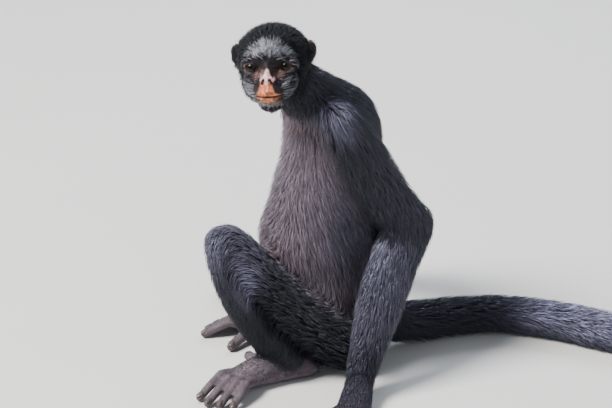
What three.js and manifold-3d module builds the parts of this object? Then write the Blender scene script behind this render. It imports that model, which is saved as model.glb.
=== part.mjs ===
// A spider monkey sitting on the ground, life size, as a still museum model.
// Units are millimetres. +Z is up, the hips face -Y, the animal's left is +X, and the
// rump rests on the floor at the origin. Every solid reaches out to the tips of the coat.

import * as THREE from 'three';
import { mergeVertices } from 'three/addons/utils/BufferGeometryUtils.js';
import Module from 'manifold-3d';

const wasm = await Module();
wasm.setup();

const vec = (x, y, z) => new THREE.Vector3(x, y, z);

// ---------------------------------------------------------------- driving dimensions

const FLOOR = 0;                    // every resting flat lies at this height
const GAP = 0.35;                   // clearance between pieces that meet

const CHEST_TURN = 25;              // degrees the chest is turned to the left of the hips
const HEAD_TURN = 73;               // degrees the face is turned to the left of the hips
const HEAD_LIFT = 14;               // degrees the face looks above the level
const HEAD_TILT = 5;                // degrees the chin is swung to its left

const TRUNK_GRAIN = 19.5;            // length of a facet's side on the trunk
const HEAD_GRAIN = 8.8;             // and on the head

// Joints
const PELVIS = vec(0, 5, 62);
const WAIST_CUT = 196;              // height of the cut between abdomen and chest
const CHEST = vec(14, -20, 280);
const COLLAR = vec(21, -34, 338);
const SKULL = vec(55, -91, 398.5);   // midway between the ears, at the height of the eyes

const LEFT = {
  side: 1,
  hip: vec(43, -4, 47),
  knee: vec(44, -149, 183),
  ankle: vec(54, -72, 27),
  heel: vec(45, -46, 13),
  ball: vec(66, -134, 15),
  toeTurn: 34,
  toeReach: 1,
  bigToeTurn: 84,
  bigToeRoot: 0.55,
  shoulder: vec(60, -14, 322),
  elbow: vec(52, 64, 190),
  wrist: vec(112, 0, 35),
  knuckles: vec(164, -19, 17),
};

const RIGHT = {
  side: -1,
  hip: vec(-40, 0, 58),
  knee: vec(-200, -98, 21),
  ankle: vec(-50, -46, 27),
  heel: vec(-38, -16, 13),
  ball: vec(-80, -101, 15),
  toeTurn: -16,
  toeReach: 0.8,
  bigToeTurn: 68,
  bigToeRoot: 0.85,
  shoulder: vec(-28, -42, 308),
  elbow: vec(-108, 40, 186),
  wrist: vec(-178, 26, 35),
  knuckles: vec(-232, 8, 17),
};

// Feet and hands
const TOE_LENGTH = 60;
const BIG_TOE_LENGTH = 48;
const TOE_HALF = 6.6;
const FINGER_LENGTH = 74;
const FINGER_HALF = 6.8;

// Head, in its own frame: x to its left, y to its back, z up
const EYE_SPREAD = 19;
const EYE_HALF = 10;
const EYE_DEPTH = -24.5;
const EAR_AT = vec(41, 12, 12);

// ---------------------------------------------------------------- colours

const material = (color, roughness) => new THREE.MeshStandardMaterial({ color, roughness, metalness: 0 });
const blackCoat = () => material(0x17171b, 0.55);
const greyFace = () => material(0x6d6466, 0.7);
const palmSkin = () => material(0x3a3238, 0.6);
const darkEye = () => material(0x1b0f08, 0.08);

// ---------------------------------------------------------------- soft shapes as fields
// A field gives the distance from a point to a surface, less than nothing inside it.

const mix = (a, b, t) => a + (b - a) * t;
const clamp01 = (t) => Math.min(1, Math.max(0, t));

// An egg with three half sizes, turned about the upright axis.
function egg(centre, half, turn = 0) {
  const c = Math.cos(THREE.MathUtils.degToRad(turn));
  const s = Math.sin(THREE.MathUtils.degToRad(turn));
  return (p) => {
    const dx = p.x - centre.x;
    const dy = p.y - centre.y;
    const x = (c * dx + s * dy) / half.x;
    const y = (c * dy - s * dx) / half.y;
    const z = (p.z - centre.z) / half.z;
    const near = Math.hypot(x, y, z);
    const slope = Math.hypot(x / half.x, y / half.y, z / half.z);
    return near < 1e-6 ? -Math.min(half.x, half.y, half.z) : near * (near - 1) / slope;
  };
}

// A straight stretch with round ends of two sizes.
function stretch(from, to, fromHalf, toHalf) {
  const along = to.clone().sub(from);
  const length2 = along.lengthSq();
  return (p) => {
    const t = clamp01(((p.x - from.x) * along.x + (p.y - from.y) * along.y + (p.z - from.z) * along.z) / length2);
    const dx = p.x - mix(from.x, to.x, t);
    const dy = p.y - mix(from.y, to.y, t);
    const dz = p.z - mix(from.z, to.z, t);
    return Math.hypot(dx, dy, dz) - mix(fromHalf, toHalf, t);
  };
}

// The nearer of two distances, rounded over within the given reach.
function soften(a, b, reach) {
  const h = clamp01(0.5 + 0.5 * (b - a) / reach);
  return mix(b, a, h) - reach * h * (1 - h);
}

const blend = (reach, ...fields) => (p) => fields.map((f) => f(p)).reduce((a, b) => soften(a, b, reach));
const hollow = (reach, body, tool) => (p) => -soften(-body(p), tool(p), reach);
const bothSides = (make) => [make(1), make(-1)];

// The closed surface of a field inside a box: one corner in each cell that the surface
// crosses, moved on to the surface, and one four-sided facet for each crossed edge. A grown
// copy has the same facets, pushed outwards.
function surfaceOf(field, low, high, grain, grow = 0) {
  const counts = [high.x - low.x, high.y - low.y, high.z - low.z].map((d) => Math.ceil(d / grain) + 1);
  const [nx, ny, nz] = counts;
  const value = new Float32Array(nx * ny * nz);
  const index = (i, j, k) => i + nx * (j + ny * k);
  const spot = (i, j, k) => vec(low.x + i * grain, low.y + j * grain, low.z + k * grain);
  for (let k = 0; k < nz; k++) {
    for (let j = 0; j < ny; j++) {
      for (let i = 0; i < nx; i++) value[index(i, j, k)] = field(spot(i, j, k));
    }
  }
  const corners = [0, 1, 2, 3, 4, 5, 6, 7].map((n) => [n & 1, (n >> 1) & 1, (n >> 2) & 1]);
  const edges = [];
  for (let a = 0; a < 8; a++) {
    for (const bit of [1, 2, 4]) if (!(a & bit)) edges.push([a, a | bit]);
  }
  const positions = [];
  const cellVertex = new Int32Array(nx * ny * nz).fill(-1);
  for (let k = 0; k < nz - 1; k++) {
    for (let j = 0; j < ny - 1; j++) {
      for (let i = 0; i < nx - 1; i++) {
        const sum = vec(0, 0, 0);
        let crossings = 0;
        for (const [a, b] of edges) {
          const [ca, cb] = [corners[a], corners[b]];
          const va = value[index(i + ca[0], j + ca[1], k + ca[2])];
          const vb = value[index(i + cb[0], j + cb[1], k + cb[2])];
          if ((va < 0) === (vb < 0)) continue;
          const t = va / (va - vb);
          sum.add(spot(i + mix(ca[0], cb[0], t), j + mix(ca[1], cb[1], t), k + mix(ca[2], cb[2], t)));
          crossings++;
        }
        if (!crossings) continue;
        cellVertex[index(i, j, k)] = positions.length / 3;
        positions.push(...settle(field, sum.divideScalar(crossings), grow, grain).toArray());
      }
    }
  }
  const faces = [];
  const strides = [[1, 0, 0], [0, 1, 0], [0, 0, 1]];
  for (let k = 1; k < nz - 1; k++) {
    for (let j = 1; j < ny - 1; j++) {
      for (let i = 1; i < nx - 1; i++) {
        strides.forEach(([di, dj, dk], axis) => {
          const inside = value[index(i, j, k)] < 0;
          if (inside === value[index(i + di, j + dj, k + dk)] < 0) return;
          const [u, v] = [strides[(axis + 1) % 3], strides[(axis + 2) % 3]];
          const cell = (a, b) => cellVertex[index(i - a * u[0] - b * v[0], j - a * u[1] - b * v[1], k - a * u[2] - b * v[2])];
          const quad = [cell(1, 1), cell(0, 1), cell(0, 0), cell(1, 0)];
          if (!inside) quad.reverse();
          faces.push(quad[0], quad[1], quad[2], quad[0], quad[2], quad[3]);
        });
      }
    }
  }
  return geometryOf(positions, faces);
}

function slopeOf(field, point) {
  const step = 0.05;
  const here = field(point);
  return vec(
    field(vec(point.x + step, point.y, point.z)) - here,
    field(vec(point.x, point.y + step, point.z)) - here,
    field(vec(point.x, point.y, point.z + step)) - here,
  ).divideScalar(step);
}

// A point moved along the field's slope until it lies on the surface, then out by "grow".
function settle(field, point, grow, grain) {
  for (let round = 0; round < 3; round++) {
    const slope = slopeOf(field, point);
    const reach = field(point) / Math.max(slope.lengthSq(), 0.2);
    point.addScaledVector(slope, -THREE.MathUtils.clamp(reach, -grain / 3, grain / 3));
  }
  return point.addScaledVector(slopeOf(field, point).normalize(), grow);
}

// ---------------------------------------------------------------- limbs as tubes
// A station is a place on a limb's middle line with half its width and half its depth.

const station = (at, across, deep = across) => ({ at, across, deep });

// A closed tube through its stations, with rounded ends. "level" is a direction that the
// width follows; "round" is how far each end bulges, as a share of its half depth.
function tube(stations, { sides = 12, rings = 10, level = vec(1, 0, 0), round = [1, 1], grow = 0 }) {
  const line = new THREE.CatmullRomCurve3(stations.map((s) => s.at), false, 'centripetal');
  const sizes = new THREE.CatmullRomCurve3(stations.map((s) => vec(s.across, s.deep, 0)), false, 'catmullrom', 0.3);
  const hoops = [];
  const capSteps = round.map((bulge) => (bulge ? 2 : 1));
  const hoopAt = (t, push, shrink) => {
    const ahead = line.getTangent(t);
    const size = sizes.getPoint(t);
    const wide = level.clone().addScaledVector(ahead, -level.dot(ahead)).normalize();
    const high = ahead.clone().cross(wide);
    const middle = line.getPoint(t).addScaledVector(ahead, push * (size.y + grow));
    hoops.push({ middle, wide, high, across: (size.x + grow) * shrink, deep: (size.y + grow) * shrink });
  };
  for (let step = capSteps[0]; step > 0; step--) {
    const angle = (Math.PI / 2) * (step / capSteps[0]);
    hoopAt(0, -round[0] * Math.sin(angle), Math.cos(angle));
  }
  for (let ring = 0; ring <= rings; ring++) hoopAt(ring / rings, 0, 1);
  for (let step = 1; step <= capSteps[1]; step++) {
    const angle = (Math.PI / 2) * (step / capSteps[1]);
    hoopAt(1, round[1] * Math.sin(angle), Math.cos(angle));
  }
  const positions = [];
  const faces = [];
  const last = hoops.length - 1;
  hoops.forEach((hoop, n) => {
    const points = n === 0 || n === last ? 1 : sides;
    for (let k = 0; k < points; k++) {
      const angle = (2 * Math.PI * (k + 0.5 * (n % 2))) / sides;
      const spread = points === 1 ? 0 : 1;
      const point = hoop.middle.clone()
        .addScaledVector(hoop.wide, spread * hoop.across * Math.cos(angle))
        .addScaledVector(hoop.high, spread * hoop.deep * Math.sin(angle));
      positions.push(...point.toArray());
    }
  });
  const first = (n) => (n === 0 ? 0 : 1 + (n - 1) * sides);
  for (let n = 0; n < last; n++) {
    for (let k = 0; k < sides; k++) {
      const next = (k + 1) % sides;
      const [a, b] = [first(n), first(n + 1)];
      const lean = n % 2;
      if (n === 0) faces.push(a, b + next, b + k);
      else if (n === last - 1) faces.push(a + k, a + next, b);
      else if (lean) faces.push(a + k, a + next, b + next, a + k, b + next, b + k);
      else faces.push(a + k, a + next, b + k, a + next, b + next, b + k);
    }
  }
  return geometryOf(positions, faces);
}

// ---------------------------------------------------------------- solids

function geometryOf(positions, faces) {
  const geometry = new THREE.BufferGeometry();
  geometry.setAttribute('position', new THREE.Float32BufferAttribute(positions, 3));
  geometry.setIndex(faces);
  return geometry;
}

// A closed geometry as a solid that can be joined and cut, its faces turned outwards.
function solid(geometry) {
  const shape = geometry.clone();
  shape.deleteAttribute('normal');
  shape.deleteAttribute('uv');
  const merged = mergeVertices(shape, 1e-4);
  const points = merged.attributes.position;
  const index = Array.from(merged.index.array);
  let volume = 0;
  const [a, b, c] = [vec(), vec(), vec()];
  for (let n = 0; n < index.length; n += 3) {
    a.fromBufferAttribute(points, index[n]);
    b.fromBufferAttribute(points, index[n + 1]);
    c.fromBufferAttribute(points, index[n + 2]);
    volume += a.dot(b.cross(c));
  }
  const triVerts = volume < 0 ? index.reverse() : index;
  const vertProperties = new Float32Array(points.array);
  return new wasm.Manifold(new wasm.Mesh({ numProp: 3, vertProperties, triVerts: new Uint32Array(triVerts) }));
}

// What is left of a solid above the floor, without crumbs.
function aboveFloor(body) {
  return largest(body.trimByPlane([0, 0, 1], FLOOR));
}

function largest(body) {
  const pieces = body.decompose();
  return pieces.reduce((a, b) => (a.volume() >= b.volume() ? a : b));
}

function cutBy(body, ...tools) {
  return largest(tools.reduce((rest, tool) => rest.subtract(tool), body));
}

function meshOf(name, body, look) {
  const { numProp, vertProperties, triVerts } = body.getMesh();
  const positions = [];
  for (let n = 0; n < vertProperties.length; n += numProp) positions.push(...vertProperties.slice(n, n + 3));
  const geometry = geometryOf(positions, Array.from(triVerts));
  geometry.computeVertexNormals();
  const mesh = new THREE.Mesh(geometry, look);
  mesh.name = name;
  return mesh;
}

// ---------------------------------------------------------------- trunk and neck

const turnedLeft = (degrees) => {
  const angle = THREE.MathUtils.degToRad(degrees);
  return { forward: vec(Math.sin(angle), -Math.cos(angle), 0), left: vec(Math.cos(angle), Math.sin(angle), 0) };
};
const chestFrame = turnedLeft(CHEST_TURN);
const onChest = (left, forward, up) => CHEST.clone()
  .addScaledVector(chestFrame.left, left)
  .addScaledVector(chestFrame.forward, forward)
  .add(vec(0, 0, up));

// The neck runs from the collar into the back of the skull.
const NAPE = vec(42, -70, 374);

const trunkField = blend(
  20,
  egg(PELVIS, vec(63, 62, 66)),
  egg(vec(1, -8, 112), vec(66, 64, 62)),
  egg(vec(4, -24, 166), vec(64, 79, 68), CHEST_TURN / 3),
  egg(vec(9, -20, 224), vec(59, 67, 56), CHEST_TURN / 2),
  egg(onChest(0, -4, 0), vec(59, 57, 63), CHEST_TURN),
  egg(onChest(0, -10, 35), vec(54, 42, 35), CHEST_TURN),
  stretch(onChest(8, -8, 36), LEFT.shoulder, 30, 24),
  stretch(onChest(-8, 2, 24), RIGHT.shoulder, 30, 24),
  stretch(COLLAR, NAPE, 34, 31),
);

const trunkSurface = (grow) => solid(surfaceOf(
  trunkField, vec(-110, -130, -40), vec(130, 110, 430), TRUNK_GRAIN, grow,
));

// ---------------------------------------------------------------- head

const headField = (() => {
  const skullCap = egg(vec(0, 9, 9), vec(42, 46, 37));
  const face = egg(vec(0, -12, -8), vec(32, 25, 36));
  const jowls = bothSides((s) => egg(vec(18 * s, -5, -20), vec(17, 24, 22)));
  const muzzle = egg(vec(0, -31, -23), vec(18, 20, 17));
  const chin = egg(vec(0, -27, -36), vec(14, 16, 12));
  const brow = blend(6, ...bothSides((s) => stretch(vec(5 * s, -34, 13), vec(25 * s, -28, 12), 7, 6)));
  const nose = blend(
    5,
    stretch(vec(0, -34, 6), vec(0, -45, -10), 6, 7),
    ...bothSides((s) => egg(vec(5.5 * s, -47, -13.5), vec(6, 6, 5))),
  );
  const flesh = blend(9, skullCap, face, ...jowls, muzzle, chin, brow);
  const withNose = blend(5, flesh, nose);
  const sockets = bothSides((s) => egg(vec(EYE_SPREAD * s, -44, 0), vec(12, 12, 8)));
  return hollow(4, hollow(4, withNose, sockets[0]), sockets[1]);
})();

const headSurface = (grow) => solid(surfaceOf(
  headField, vec(-60, -70, -60), vec(60, 72, 66), HEAD_GRAIN, grow,
));

// A small round ear: an egg leaning back from the side of the head, cupped on its open side.
function ear(side, grow) {
  const lobe = new THREE.SphereGeometry(1, 9, 6);
  lobe.scale(6.5 + grow, 9 + grow, 11.5 + grow);
  lobe.rotateZ(THREE.MathUtils.degToRad(-25 * side));
  const cup = new THREE.SphereGeometry(1, 7, 4);
  cup.scale(5 - grow, 6.5 - grow, 8 - grow);
  cup.rotateZ(THREE.MathUtils.degToRad(-25 * side));
  cup.translate(5 * side, -2.2, 0.5);
  return solid(lobe).subtract(solid(cup)).translate([EAR_AT.x * side, EAR_AT.y, EAR_AT.z]);
}

function eyeBall(side, grow) {
  const ball = new THREE.SphereGeometry(EYE_HALF + grow, 10, 7);
  ball.translate(EYE_SPREAD * side, EYE_DEPTH, 0);
  return solid(ball);
}

const headPlace = new THREE.Object3D();
headPlace.position.copy(SKULL);
headPlace.rotation.set(
  THREE.MathUtils.degToRad(-HEAD_LIFT), THREE.MathUtils.degToRad(-HEAD_TILT), THREE.MathUtils.degToRad(HEAD_TURN),
  'ZYX',
);
headPlace.updateMatrixWorld(true);

// ---------------------------------------------------------------- limbs

const between = (a, b, t, shift = vec(0, 0, 0)) => a.clone().lerp(b, t).add(shift);

function upperArm(limb, grow) {
  const stations = [
    station(between(limb.shoulder, limb.elbow, -0.04), 26, 26),
    station(between(limb.shoulder, limb.elbow, 0.3, vec(0, -4, -3)), 27, 34),
    station(between(limb.shoulder, limb.elbow, 0.7, vec(0, -3, -4)), 24, 31),
    station(between(limb.shoulder, limb.elbow, 1.0, vec(0, 4, 2)), 20, 24),
  ];
  return solid(tube(stations, { sides: 10, rings: 4, grow }));
}

function foreArm(limb, grow) {
  const stations = [
    station(between(limb.elbow, limb.wrist, 0.02, vec(0, 10, 3)), 20, 25),
    station(between(limb.elbow, limb.wrist, 0.28, vec(0, -3, 0)), 24, 31),
    station(between(limb.elbow, limb.wrist, 0.6, vec(0, -2, 0)), 22, 27),
    station(between(limb.elbow, limb.wrist, 0.86), 17, 20),
    station(limb.wrist, 16, 18),
  ];
  return solid(tube(stations, { sides: 10, rings: 5, grow, round: [1.1, 0.6] }));
}

function thigh(limb, grow) {
  const middle = limb.side > 0
    ? [vec(3, -4, -8), vec(3, -4, -4)]
    : [vec(2, 10, 14), vec(2, 9, 14)];
  const stations = [
    station(between(limb.hip, limb.knee, -0.02), 38, 42),
    station(between(limb.hip, limb.knee, 0.33, middle[0]), 35, 36),
    station(between(limb.hip, limb.knee, 0.68, middle[1]), 29, 31),
    station(between(limb.hip, limb.knee, 0.97), 24, 25),
  ];
  return solid(tube(stations, { sides: 10, rings: 5, grow, round: [1, 0.9] }));
}

function shin(limb, grow) {
  const bow = limb.side > 0
    ? [vec(0, -9, -4), vec(0, -8, -4)]
    : [vec(2, -2, 5), vec(2, 0, 4)];
  const stations = [
    station(between(limb.knee, limb.ankle, 0.02), 23, 24),
    station(between(limb.knee, limb.ankle, 0.34, bow[0]), 24, 27),
    station(between(limb.knee, limb.ankle, 0.7, bow[1]), 22, 25),
    station(limb.ankle, 18, 20),
  ];
  return solid(tube(stations, { sides: 10, rings: 5, grow, round: [1, 0.7] }));
}

// ---------------------------------------------------------------- feet and hands

// Directions of a flat foot or hand: ahead over the floor, and its own left.
function footing(from, to) {
  const ahead = to.clone().sub(from).setZ(0).normalize();
  return { ahead, left: vec(-ahead.y, ahead.x, 0) };
}

function footSole(limb, grow) {
  const { left } = footing(limb.heel, limb.ball);
  const stations = [
    station(limb.heel.clone().setZ(14), 14, 16),
    station(between(limb.heel, limb.ball, 0.35).setZ(20), 16, 22),
    station(between(limb.heel, limb.ball, 0.75).setZ(18), 19, 19),
    station(limb.ball.clone().setZ(13), 21, 14),
  ];
  return solid(tube(stations, { sides: 10, rings: 5, level: left, grow, round: [0.8, 0.6] }));
}

// A toe or finger with its nail: it arches over its joints and sets its tip down.
function digit(root, ahead, length, half, lift, grow) {
  const along = (share, height) => root.clone().addScaledVector(ahead, length * share).setZ(height);
  const stations = [
    station(along(0, root.z), half * 1.05, half),
    station(along(0.33, root.z + lift), half, half),
    station(along(0.72, mix(root.z + lift, half * 0.9, 0.55)), half * 0.92, half * 0.92),
    station(along(1, half * 0.8), half * 0.78, half * 0.8),
  ];
  const left = vec(-ahead.y, ahead.x, 0);
  return solid(tube(stations, { sides: 6, rings: 3, level: left, grow, round: [0, 0.9] }));
}

const spun = (direction, degrees) => direction.clone().applyAxisAngle(vec(0, 0, 1), THREE.MathUtils.degToRad(degrees));

// Four toes side by side, and the big toe standing away from them on the inner side.
function toesOf(limb) {
  const { ahead, left } = footing(limb.heel, limb.ball);
  const inward = left.clone().multiplyScalar(-limb.side);
  const toes = [0.96, 1.04, 1, 0.9].map((share, n) => {
    const place = 1.5 - n;
    return {
      root: limb.ball.clone().addScaledVector(inward, place * 10.6).addScaledVector(ahead, place * 5 - 4),
      ahead: spun(ahead, limb.side * (limb.toeTurn - place * 4)),
      length: TOE_LENGTH * limb.toeReach * share,
      half: TOE_HALF,
      lift: 5,
    };
  });
  const big = {
    root: between(limb.heel, limb.ball, limb.bigToeRoot).setZ(10.5).addScaledVector(inward, 14),
    ahead: spun(ahead, -limb.side * limb.bigToeTurn),
    length: BIG_TOE_LENGTH,
    half: TOE_HALF * 1.2,
    lift: 3,
  };
  return [big, ...toes];
}

function palm(limb, grow) {
  const { left } = footing(limb.wrist, limb.knuckles);
  const stations = [
    station(between(limb.wrist, limb.knuckles, 0.02).setZ(26), 15, 16),
    station(between(limb.wrist, limb.knuckles, 0.4).setZ(17), 18, 15),
    station(between(limb.wrist, limb.knuckles, 0.95).setZ(11), 21, 10.5),
  ];
  return solid(tube(stations, { sides: 10, rings: 4, level: left, grow, round: [1, 0.6] }));
}

// Four long fingers; this monkey has no thumb.
function fingersOf(limb) {
  const { ahead, left } = footing(limb.wrist, limb.knuckles);
  const inward = left.clone().multiplyScalar(-limb.side);
  const root = limb.knuckles.clone().setZ(10.5);
  return [0.94, 1.04, 1, 0.84].map((share, n) => {
    const place = 1.5 - n;
    return {
      root: root.clone().addScaledVector(inward, place * 10.4).addScaledVector(ahead, -Math.abs(place) * 2),
      ahead: spun(ahead, -limb.side * place * 6),
      length: FINGER_LENGTH * share,
      half: FINGER_HALF,
      lift: 8,
    };
  });
}

// ---------------------------------------------------------------- tail

// The tail leaves the rump, settles on the floor, swings out and curls in at its tip. It has
// half its thickness for each place on its middle line.
const TAIL_LINE = [
  vec(0, 46, 42), vec(-14, 92, 31), vec(-27, 146, 27), vec(-27, 205, 25),
  vec(-2, 264, 22.5), vec(41, 320, 22.7), vec(78, 376, 22), vec(96, 438, 20),
  vec(92, 500, 18), vec(54, 546, 16), vec(-4, 550, 13.8), vec(-40, 508, 11.9), vec(-18, 464, 10),
];
const TAIL_HALVES = [27, 25, 23.5, 22, 23.5, 24.5, 23.8, 21.6, 19.4, 17.2, 15, 13, 11];
const TAIL_LENGTHS = 4;

function tailPiece(number, grow) {
  const last = TAIL_LINE.length - 1;
  const line = new THREE.CatmullRomCurve3(TAIL_LINE, false, 'centripetal');
  const per = last / TAIL_LENGTHS;
  const stations = [];
  for (let n = 0; n <= per; n++) {
    const spot = number * per + n;
    stations.push(station(line.getPoint(spot / last), TAIL_HALVES[spot]));
  }
  return solid(tube(stations, { sides: 9, rings: 5, grow, level: vec(0, 0, 1), round: [0, 0.5] }));
}

// ---------------------------------------------------------------- putting it together

const monkey = new THREE.Group();
const add = (name, body, look) => monkey.add(meshOf(name, body, look));

// Toes or fingers, each cut clear of the foot or hand and of the one beside it.
function addDigits(name, digits, ...rooms) {
  let beside = rooms[0];
  digits.forEach((d, n) => {
    const body = (grow) => digit(d.root, d.ahead, d.length, d.half, d.lift, grow);
    add(`${name}_${n + 1}`, aboveFloor(cutBy(body(0), ...rooms, beside)), palmSkin());
    beside = body(GAP);
  });
}

const trunk = trunkSurface(0);
const trunkRoom = trunkSurface(GAP);
const headRoom = headSurface(GAP).transform(headPlace.matrixWorld.toArray());

const neckWay = NAPE.clone().sub(COLLAR).normalize();
const neckCut = neckWay.dot(COLLAR) + 2;
const upperTrunk = trunk.trimByPlane([0, 0, 1], WAIST_CUT + GAP / 2);
add('abdomen', aboveFloor(trunk.trimByPlane([0, 0, -1], -(WAIST_CUT - GAP / 2))), blackCoat());
add('chest', largest(upperTrunk.trimByPlane(neckWay.clone().negate().toArray(), -(neckCut - GAP / 2))), blackCoat());
add('neck', cutBy(upperTrunk.trimByPlane(neckWay.toArray(), neckCut + GAP / 2), headRoom), blackCoat());

const headGroup = new THREE.Group();
headGroup.position.copy(headPlace.position);
headGroup.quaternion.copy(headPlace.quaternion);
monkey.add(headGroup);
const headRooms = bothSides((s) => [eyeBall(s, GAP), ear(s, GAP)]).flat();
headGroup.add(meshOf('head', cutBy(headSurface(0), ...headRooms), greyFace()));
for (const [side, word] of [[1, 'left'], [-1, 'right']]) {
  headGroup.add(meshOf(`ear_${word}`, ear(side, 0), blackCoat()));
  headGroup.add(meshOf(`eye_${word}`, eyeBall(side, 0), darkEye()));
}

for (const [limb, word] of [[LEFT, 'left'], [RIGHT, 'right']]) {
  const thighRoom = thigh(limb, GAP);
  const shinRoom = shin(limb, GAP);
  add(`thigh_${word}`, aboveFloor(cutBy(thigh(limb, 0), trunkRoom)), blackCoat());
  add(`shin_${word}`, aboveFloor(cutBy(shin(limb, 0), trunkRoom, thighRoom)), blackCoat());
  add(`foot_${word}`, aboveFloor(cutBy(footSole(limb, 0), shinRoom, thighRoom, trunkRoom)), palmSkin());
  addDigits(`toe_${word}`, toesOf(limb), footSole(limb, GAP), shinRoom);

  const upperArmRoom = upperArm(limb, GAP);
  const foreArmRoom = foreArm(limb, GAP);
  add(`upper_arm_${word}`, cutBy(upperArm(limb, 0), trunkRoom), blackCoat());
  add(`forearm_${word}`, cutBy(foreArm(limb, 0), upperArmRoom, trunkRoom), blackCoat());
  add(`hand_${word}`, aboveFloor(cutBy(palm(limb, 0), foreArmRoom)), palmSkin());
  addDigits(`finger_${word}`, fingersOf(limb), palm(limb, GAP));
}

for (let number = 0; number < TAIL_LENGTHS; number++) {
  const before = number ? tailPiece(number - 1, GAP) : trunkRoom;
  add(`tail_${number + 1}`, aboveFloor(cutBy(tailPiece(number, 0), before)), blackCoat());
}

export default monkey;
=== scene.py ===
import math

import bmesh
import bpy
import numpy as np
from mathutils import Matrix, Vector
from mathutils.bvhtree import BVHTree
from mathutils.kdtree import KDTree


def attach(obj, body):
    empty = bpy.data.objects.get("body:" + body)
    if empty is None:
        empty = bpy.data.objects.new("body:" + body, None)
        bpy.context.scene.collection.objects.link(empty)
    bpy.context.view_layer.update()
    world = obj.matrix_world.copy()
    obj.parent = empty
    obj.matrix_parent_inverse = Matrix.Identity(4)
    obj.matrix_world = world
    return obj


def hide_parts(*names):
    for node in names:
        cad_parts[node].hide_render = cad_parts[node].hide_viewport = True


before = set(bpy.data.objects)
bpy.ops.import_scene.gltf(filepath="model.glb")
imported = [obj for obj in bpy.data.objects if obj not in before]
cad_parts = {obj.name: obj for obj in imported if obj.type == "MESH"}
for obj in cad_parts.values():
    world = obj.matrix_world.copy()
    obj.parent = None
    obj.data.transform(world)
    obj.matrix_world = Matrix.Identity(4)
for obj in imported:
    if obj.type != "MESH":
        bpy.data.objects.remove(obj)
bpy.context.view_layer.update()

# A black spider monkey sitting on the ground: one skin over the whole body, two eyes, the
# nails, and a coat of thin tufts that are solid mesh. Lengths are in millimetres until a
# mesh is made.

MM = 0.001
chance = np.random.default_rng(1907)

# ---- landmarks of the body

SIDES = (1, -1)
SKULL = np.array((55.0, -91.0, 398.5))
HEAD_TURN, HEAD_TILT, HEAD_LIFT = (math.radians(d) for d in (73, -5, -14))
HEAD_AXES = np.array(
    Matrix.Rotation(HEAD_TURN, 3, "Z")
    @ Matrix.Rotation(HEAD_TILT, 3, "Y")
    @ Matrix.Rotation(HEAD_LIFT, 3, "X")
)
CHEST_AHEAD = np.array((math.sin(math.radians(25)), -math.cos(math.radians(25)), 0))
THROAT_AHEAD = np.array((-0.17, -0.98, 0))

COLLAR, NAPE, PELVIS = (21, -34, 338), (42, -70, 374), (0, 5, 40)
ELBOW_LEFT, WRIST_LEFT = (52, 64, 190), (112, 0, 35)
ELBOW_RIGHT, WRIST_RIGHT = (-108, 40, 186), (-178, 26, 35)
KNEE_LEFT, KNEE_RIGHT = (44, -149, 183), (-200, -98, 21)
TAIL_LINE = [
    (0, 46, 42), (-14, 92, 31), (-27, 146, 27), (-27, 205, 25), (-2, 264, 22.5),
    (41, 320, 22.7), (78, 376, 22), (96, 438, 20), (92, 500, 18), (54, 546, 16),
    (-4, 550, 13.8), (-40, 508, 11.9), (-18, 464, 10),
]
PATHS = {
    "abdomen": [COLLAR, PELVIS],
    "chest": [COLLAR, PELVIS],
    "neck": [NAPE, COLLAR],
    "upper_arm_left": [(60, -14, 322), ELBOW_LEFT],
    "forearm_left": [ELBOW_LEFT, WRIST_LEFT],
    "hand_left": [WRIST_LEFT, (164, -19, 17)],
    "thigh_left": [(43, -4, 47), KNEE_LEFT],
    "shin_left": [KNEE_LEFT, (54, -72, 27)],
    "foot_left": [(45, -46, 20), (66, -134, 15)],
    "upper_arm_right": [(-28, -42, 308), ELBOW_RIGHT],
    "forearm_right": [ELBOW_RIGHT, WRIST_RIGHT],
    "hand_right": [WRIST_RIGHT, (-232, 8, 17)],
    "thigh_right": [(-40, 0, 58), KNEE_RIGHT],
    "shin_right": [KNEE_RIGHT, (-50, -46, 27)],
    "foot_right": [(-38, -16, 20), (-80, -101, 15)],
}

# For each part: the coat's depth at its start and end, the hair's length there, its width,
# and how many tufts grow on a square centimetre.
DEPTH, LENGTH, WIDTH, CROWD = range(4)
COAT = {
    "abdomen": ((10, 10), (38, 38), 0.85, 38),
    "chest": ((10, 10), (34, 36), 0.82, 42),
    "neck": ((9, 10), (24, 32), 0.9, 52),
    "head": ((7, 7), (16, 16), 0.64, 75),
    "ear": ((0.4, 0.4), (8, 8), 0.36, 130),
    "upper_arm": ((9.5, 8.5), (34, 34), 0.82, 43),
    "forearm": ((8.5, 4.5), (34, 20), 0.78, 48),
    "hand": ((3, 2), (17, 9), 0.55, 70),
    "finger": ((1, 0.6), (6, 3), 0.34, 40),
    "thigh": ((10, 7.5), (36, 30), 0.85, 38),
    "shin": ((7.5, 3.5), (28, 16), 0.76, 49),
    "foot": ((1.4, 1), (8, 6), 0.34, 22),
    "toe": ((0.8, 0.5), (4, 3), 0.26, 16),
    "tail": ((10, 3.5), (34, 13), 0.88, 33),
}

# Where the coat is thinner because bone or a fold is near: a place and its size.
BONY = [(ELBOW_LEFT, 34), (ELBOW_RIGHT, 30), ((52, 34, 168), 30)]
# Painted sheen where the black hair catches the light most, as a silvery tint in its colour: a place, its
# size and how silvery it is there.
SHEEN = [
    ((50, -158, 182), 26, 0.22), ((64, -120, 140), 17, 0.42), ((66, -108, 126), 10, 0.42),
    ((52, -36, 345), 9, 0.45), ((62, -26, 338), 9, 0.45), ((73, -18, 330), 7, 0.35),
    ((54, -2, 205), 45, 0.12), ((76, 44, 176), 20, 0.14),
]
# Rounds of smoothing over the facets of each part.
EASE = {"head": 14, "ear": 1, "hand": 12, "foot": 12, "finger": 5, "toe": 5}
BODY_EASE = 40
PAWS = ("hand", "finger", "foot", "toe")
TRUNK = ("abdomen", "chest", "neck")
# How far from the middle of the skull the shapes and marks of the head reach.
HEAD_REACH = 80


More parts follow.
